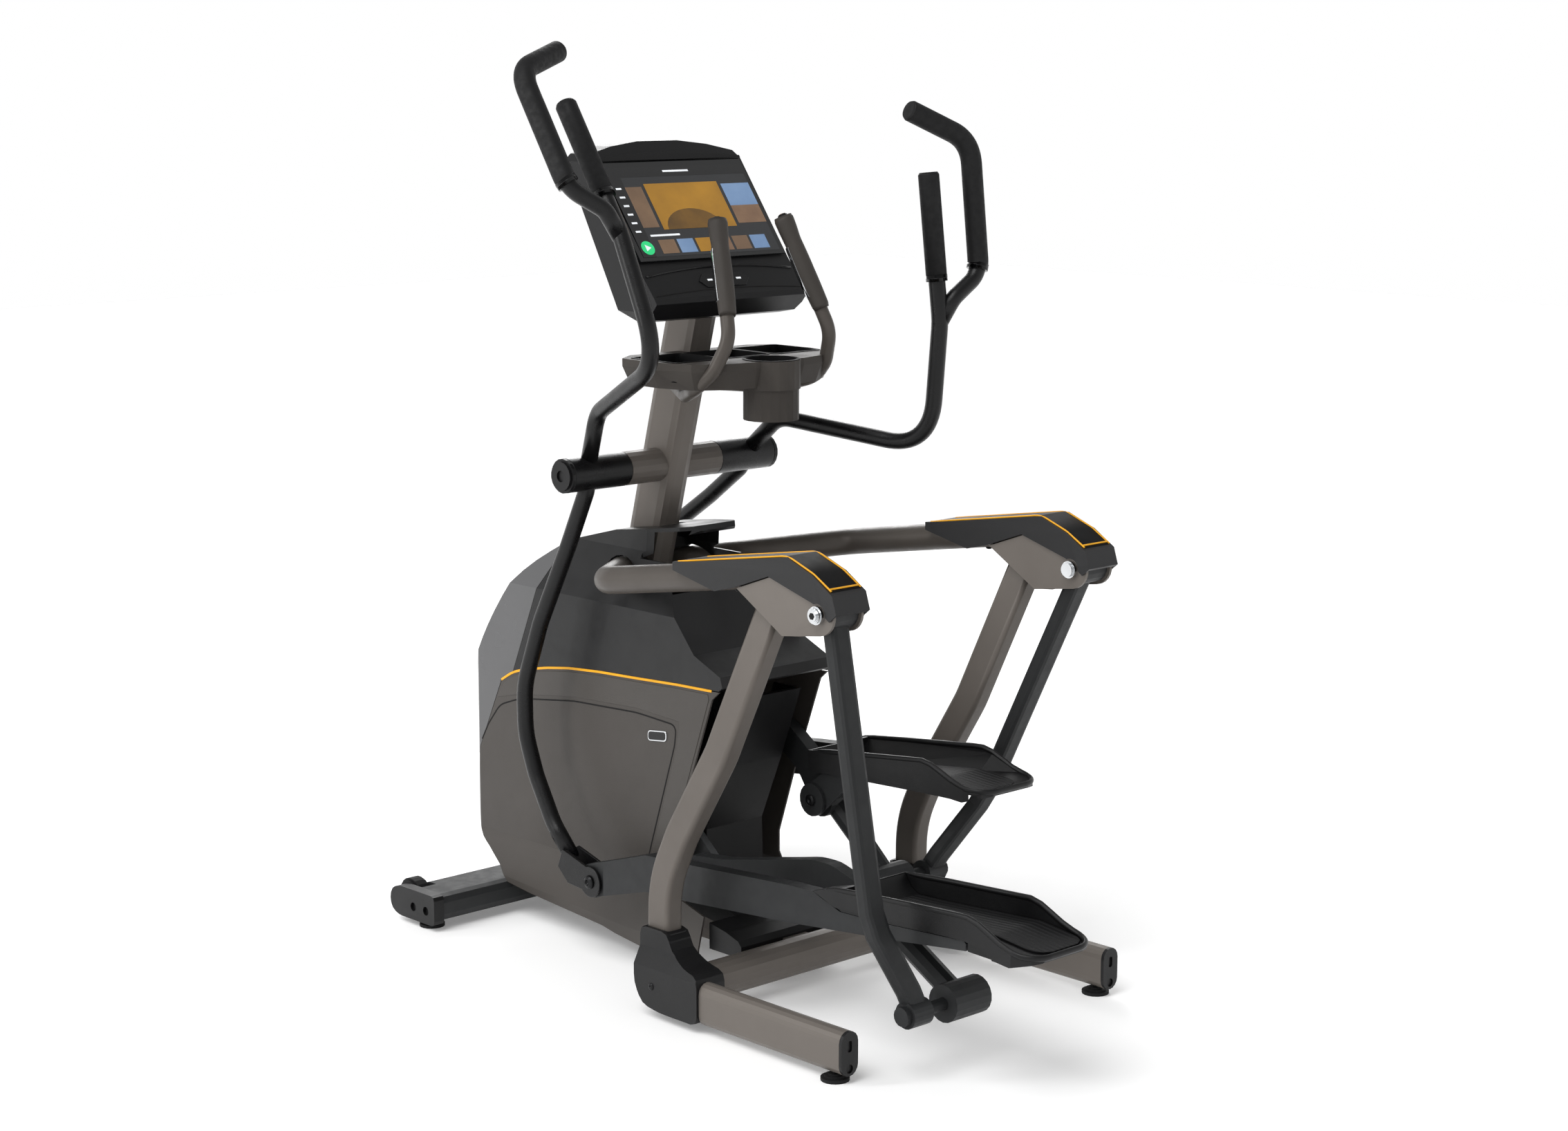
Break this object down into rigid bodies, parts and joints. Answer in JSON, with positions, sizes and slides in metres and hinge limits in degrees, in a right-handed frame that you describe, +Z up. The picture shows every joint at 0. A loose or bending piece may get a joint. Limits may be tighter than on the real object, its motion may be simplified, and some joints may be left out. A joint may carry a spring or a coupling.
{
  "type": "elliptical trainer",
  "caption": "Cross trainer with linked swinging handlebars and foot trays, rocker arms, enclosed drive housing, static grips, accessory tray and tilted console on a floor frame.",
  "frame": {"origin": "middle of the footprint on the floor, at rest", "axes": "+X towards the rider's right, +Y forward towards the console, +Z up"},
  "size_m": [0.8302, 1.662, 1.7545],
  "materials": {
    "taupe_paint": "satin powder coat",
    "black_plastic": "fine grain",
    "cover_plastic": "fine grain sides, gloss top",
    "shell_taupe": "fine grain",
    "shell_charcoal": "satin",
    "wheel_rubber": "matt",
    "foot_rubber": "matt",
    "chrome_bolt": "polished",
    "drive_steel": "machined",
    "belt_rubber": "matt",
    "console_black": "semi gloss",
    "screen_glass": "polished",
    "key_plastic": "satin",
    "grip_rubber": "ribbed foam",
    "dark_texture": "textured powder coat",
    "tray_plastic": "ribbed mat",
    "coupler_paint": "textured powder coat"
  },
  "bodies": {
    "frame": {"front_stabilizer": "taupe_paint", "front_end_cap_left": "black_plastic", "foot_front_left": "foot_rubber", "foot_rear_left": "foot_rubber", "front_end_cap_right": "black_plastic", "foot_front_right": "foot_rubber", "foot_rear_right": "foot_rubber", "base_spine": "taupe_paint", "upright_left": "taupe_paint", "corner_boot_left": "black_plastic", "rear_leg_left": "taupe_paint", "leg_cap_left": "black_plastic", "support_arm_left": "taupe_paint", "gusset_left": "taupe_paint", "arm_cover_left": "cover_plastic", "pivot_bolt_left": "chrome_bolt", "upright_right": "taupe_paint", "corner_boot_right": "black_plastic", "rear_leg_right": "taupe_paint", "leg_cap_right": "black_plastic", "support_arm_right": "taupe_paint", "gusset_right": "taupe_paint", "arm_cover_right": "cover_plastic", "pivot_bolt_right": "chrome_bolt", "mast": "taupe_paint", "bar_end_cap_left": "black_plastic", "bar_end_cap_right": "black_plastic", "shell_lower_left": "shell_taupe", "shell_lower_right": "shell_taupe", "shell_upper": "shell_charcoal", "rear_liner": "black_plastic", "belt": "belt_rubber", "console_body": "console_black", "console_screen": "screen_glass", "accessory_tray": "black_plastic", "grip_tube_left": "taupe_paint", "grip_cover_left": "grip_rubber", "grip_tube_right": "taupe_paint", "grip_cover_right": "grip_rubber"},
    "drive": {"crankset": "drive_steel"},
    "flywheel": {"flywheel": "drive_steel"},
    "handlebar_left": {"handlebar_left": "dark_texture", "inner_grip_left": "grip_rubber", "outer_grip_left": "grip_rubber"},
    "pedal_left": {"pedal_arm_left": "dark_texture", "pedal_tray_left": "tray_plastic"},
    "rocker_left": {"rocker_left": "dark_texture"},
    "coupler_left": {"coupler_left": "coupler_paint"},
    "wheel_left": {"transport_wheel_left": "wheel_rubber"},
    "thumb_left": {"thumb_button_left": "key_plastic"},
    "handlebar_right": {"handlebar_right": "dark_texture", "inner_grip_right": "grip_rubber", "outer_grip_right": "grip_rubber"},
    "pedal_right": {"pedal_arm_right": "dark_texture", "pedal_tray_right": "tray_plastic"},
    "rocker_right": {"rocker_right": "dark_texture"},
    "coupler_right": {"coupler_right": "coupler_paint"},
    "wheel_right": {"transport_wheel_right": "wheel_rubber"},
    "thumb_right": {"thumb_button_right": "key_plastic"},
    "key": {"console_key": "key_plastic"}
  },
  "joints": [
    {"name": "crank_spin", "type": "hinge", "parent": "frame", "child": "drive", "pos_m": [0, 0.306, 0.347], "axis": [1, 0, 0], "range_deg": [0, 180]},
    {"name": "handlebar_left_swing", "type": "hinge", "parent": "frame", "child": "handlebar_left", "pos_m": [-0.185, 0.347, 0.949], "axis": [1, 0, 0], "range_deg": [-0.5, 31.5]},
    {"name": "handlebar_right_swing", "type": "hinge", "parent": "frame", "child": "handlebar_right", "pos_m": [0.185, 0.347, 0.949], "axis": [1, 0, 0], "range_deg": [-31.5, 0.5]},
    {"name": "rocker_left_swing", "type": "hinge", "parent": "frame", "child": "rocker_left", "pos_m": [-0.32, -0.442, 0.809], "axis": [1, 0, 0], "range_deg": [-0.5, 37.5]},
    {"name": "rocker_right_swing", "type": "hinge", "parent": "frame", "child": "rocker_right", "pos_m": [0.32, -0.442, 0.809], "axis": [1, 0, 0], "range_deg": [-37.5, 0.5]},
    {"name": "pedal_left_pivot", "type": "hinge", "parent": "handlebar_left", "child": "pedal_left", "pos_m": [-0.223, 0.301, 0.166], "axis": [1, 0, 0], "range_deg": [-34.5, 0.5]},
    {"name": "pedal_right_pivot", "type": "hinge", "parent": "handlebar_right", "child": "pedal_right", "pos_m": [0.223, 0.7077, 0.2525], "axis": [1, 0, 0], "range_deg": [-0.5, 34.5]},
    {"name": "coupler_left_pivot", "type": "hinge", "parent": "rocker_left", "child": "coupler_left", "pos_m": [-0.134, -0.56938, 0.1217], "axis": [1, 0, 0], "range_deg": [-18.5, 0.5]},
    {"name": "coupler_right_pivot", "type": "hinge", "parent": "rocker_right", "child": "coupler_right", "pos_m": [0.134, -0.13011, 0.18344], "axis": [1, 0, 0], "range_deg": [-0.5, 18.5]},
    {"name": "flywheel_spin", "type": "hinge", "parent": "frame", "child": "flywheel", "pos_m": [0, 0.689, 0.235], "axis": [1, 0, 0], "continuous": true},
    {"name": "transport_wheel_left_spin", "type": "hinge", "parent": "frame", "child": "wheel_left", "pos_m": [-0.298, 0.793, 0.048], "axis": [1, 0, 0], "continuous": true},
    {"name": "transport_wheel_right_spin", "type": "hinge", "parent": "frame", "child": "wheel_right", "pos_m": [0.298, 0.793, 0.048], "axis": [1, 0, 0], "continuous": true},
    {"name": "console_key_press", "type": "slide", "parent": "frame", "child": "key", "axis": [0, 0.8056, -0.5925], "range_m": [0, 0.0015], "stiffness_N_per_m": 800},
    {"name": "thumb_button_left_press", "type": "slide", "parent": "frame", "child": "thumb_left", "axis": [-0.1885, -0.3582, -0.9144], "range_m": [0, 0.001], "stiffness_N_per_m": 600},
    {"name": "thumb_button_right_press", "type": "slide", "parent": "frame", "child": "thumb_right", "axis": [0.1885, -0.3582, -0.9144], "range_m": [0, 0.001], "stiffness_N_per_m": 600}
  ],
  "couplings": [
    {"joint": "handlebar_left_swing", "follows": "crank_spin", "ratio": 0.17078},
    {"joint": "handlebar_right_swing", "follows": "crank_spin", "ratio": -0.17078},
    {"joint": "rocker_left_swing", "follows": "crank_spin", "ratio": 0.20556},
    {"joint": "rocker_right_swing", "follows": "crank_spin", "ratio": -0.20556},
    {"joint": "pedal_left_pivot", "follows": "crank_spin", "ratio": -0.18744},
    {"joint": "pedal_right_pivot", "follows": "crank_spin", "ratio": 0.18744},
    {"joint": "coupler_left_pivot", "follows": "crank_spin", "ratio": -0.098889},
    {"joint": "coupler_right_pivot", "follows": "crank_spin", "ratio": 0.098889},
    {"joint": "flywheel_spin", "follows": "crank_spin", "ratio": 6.5}
  ]
}
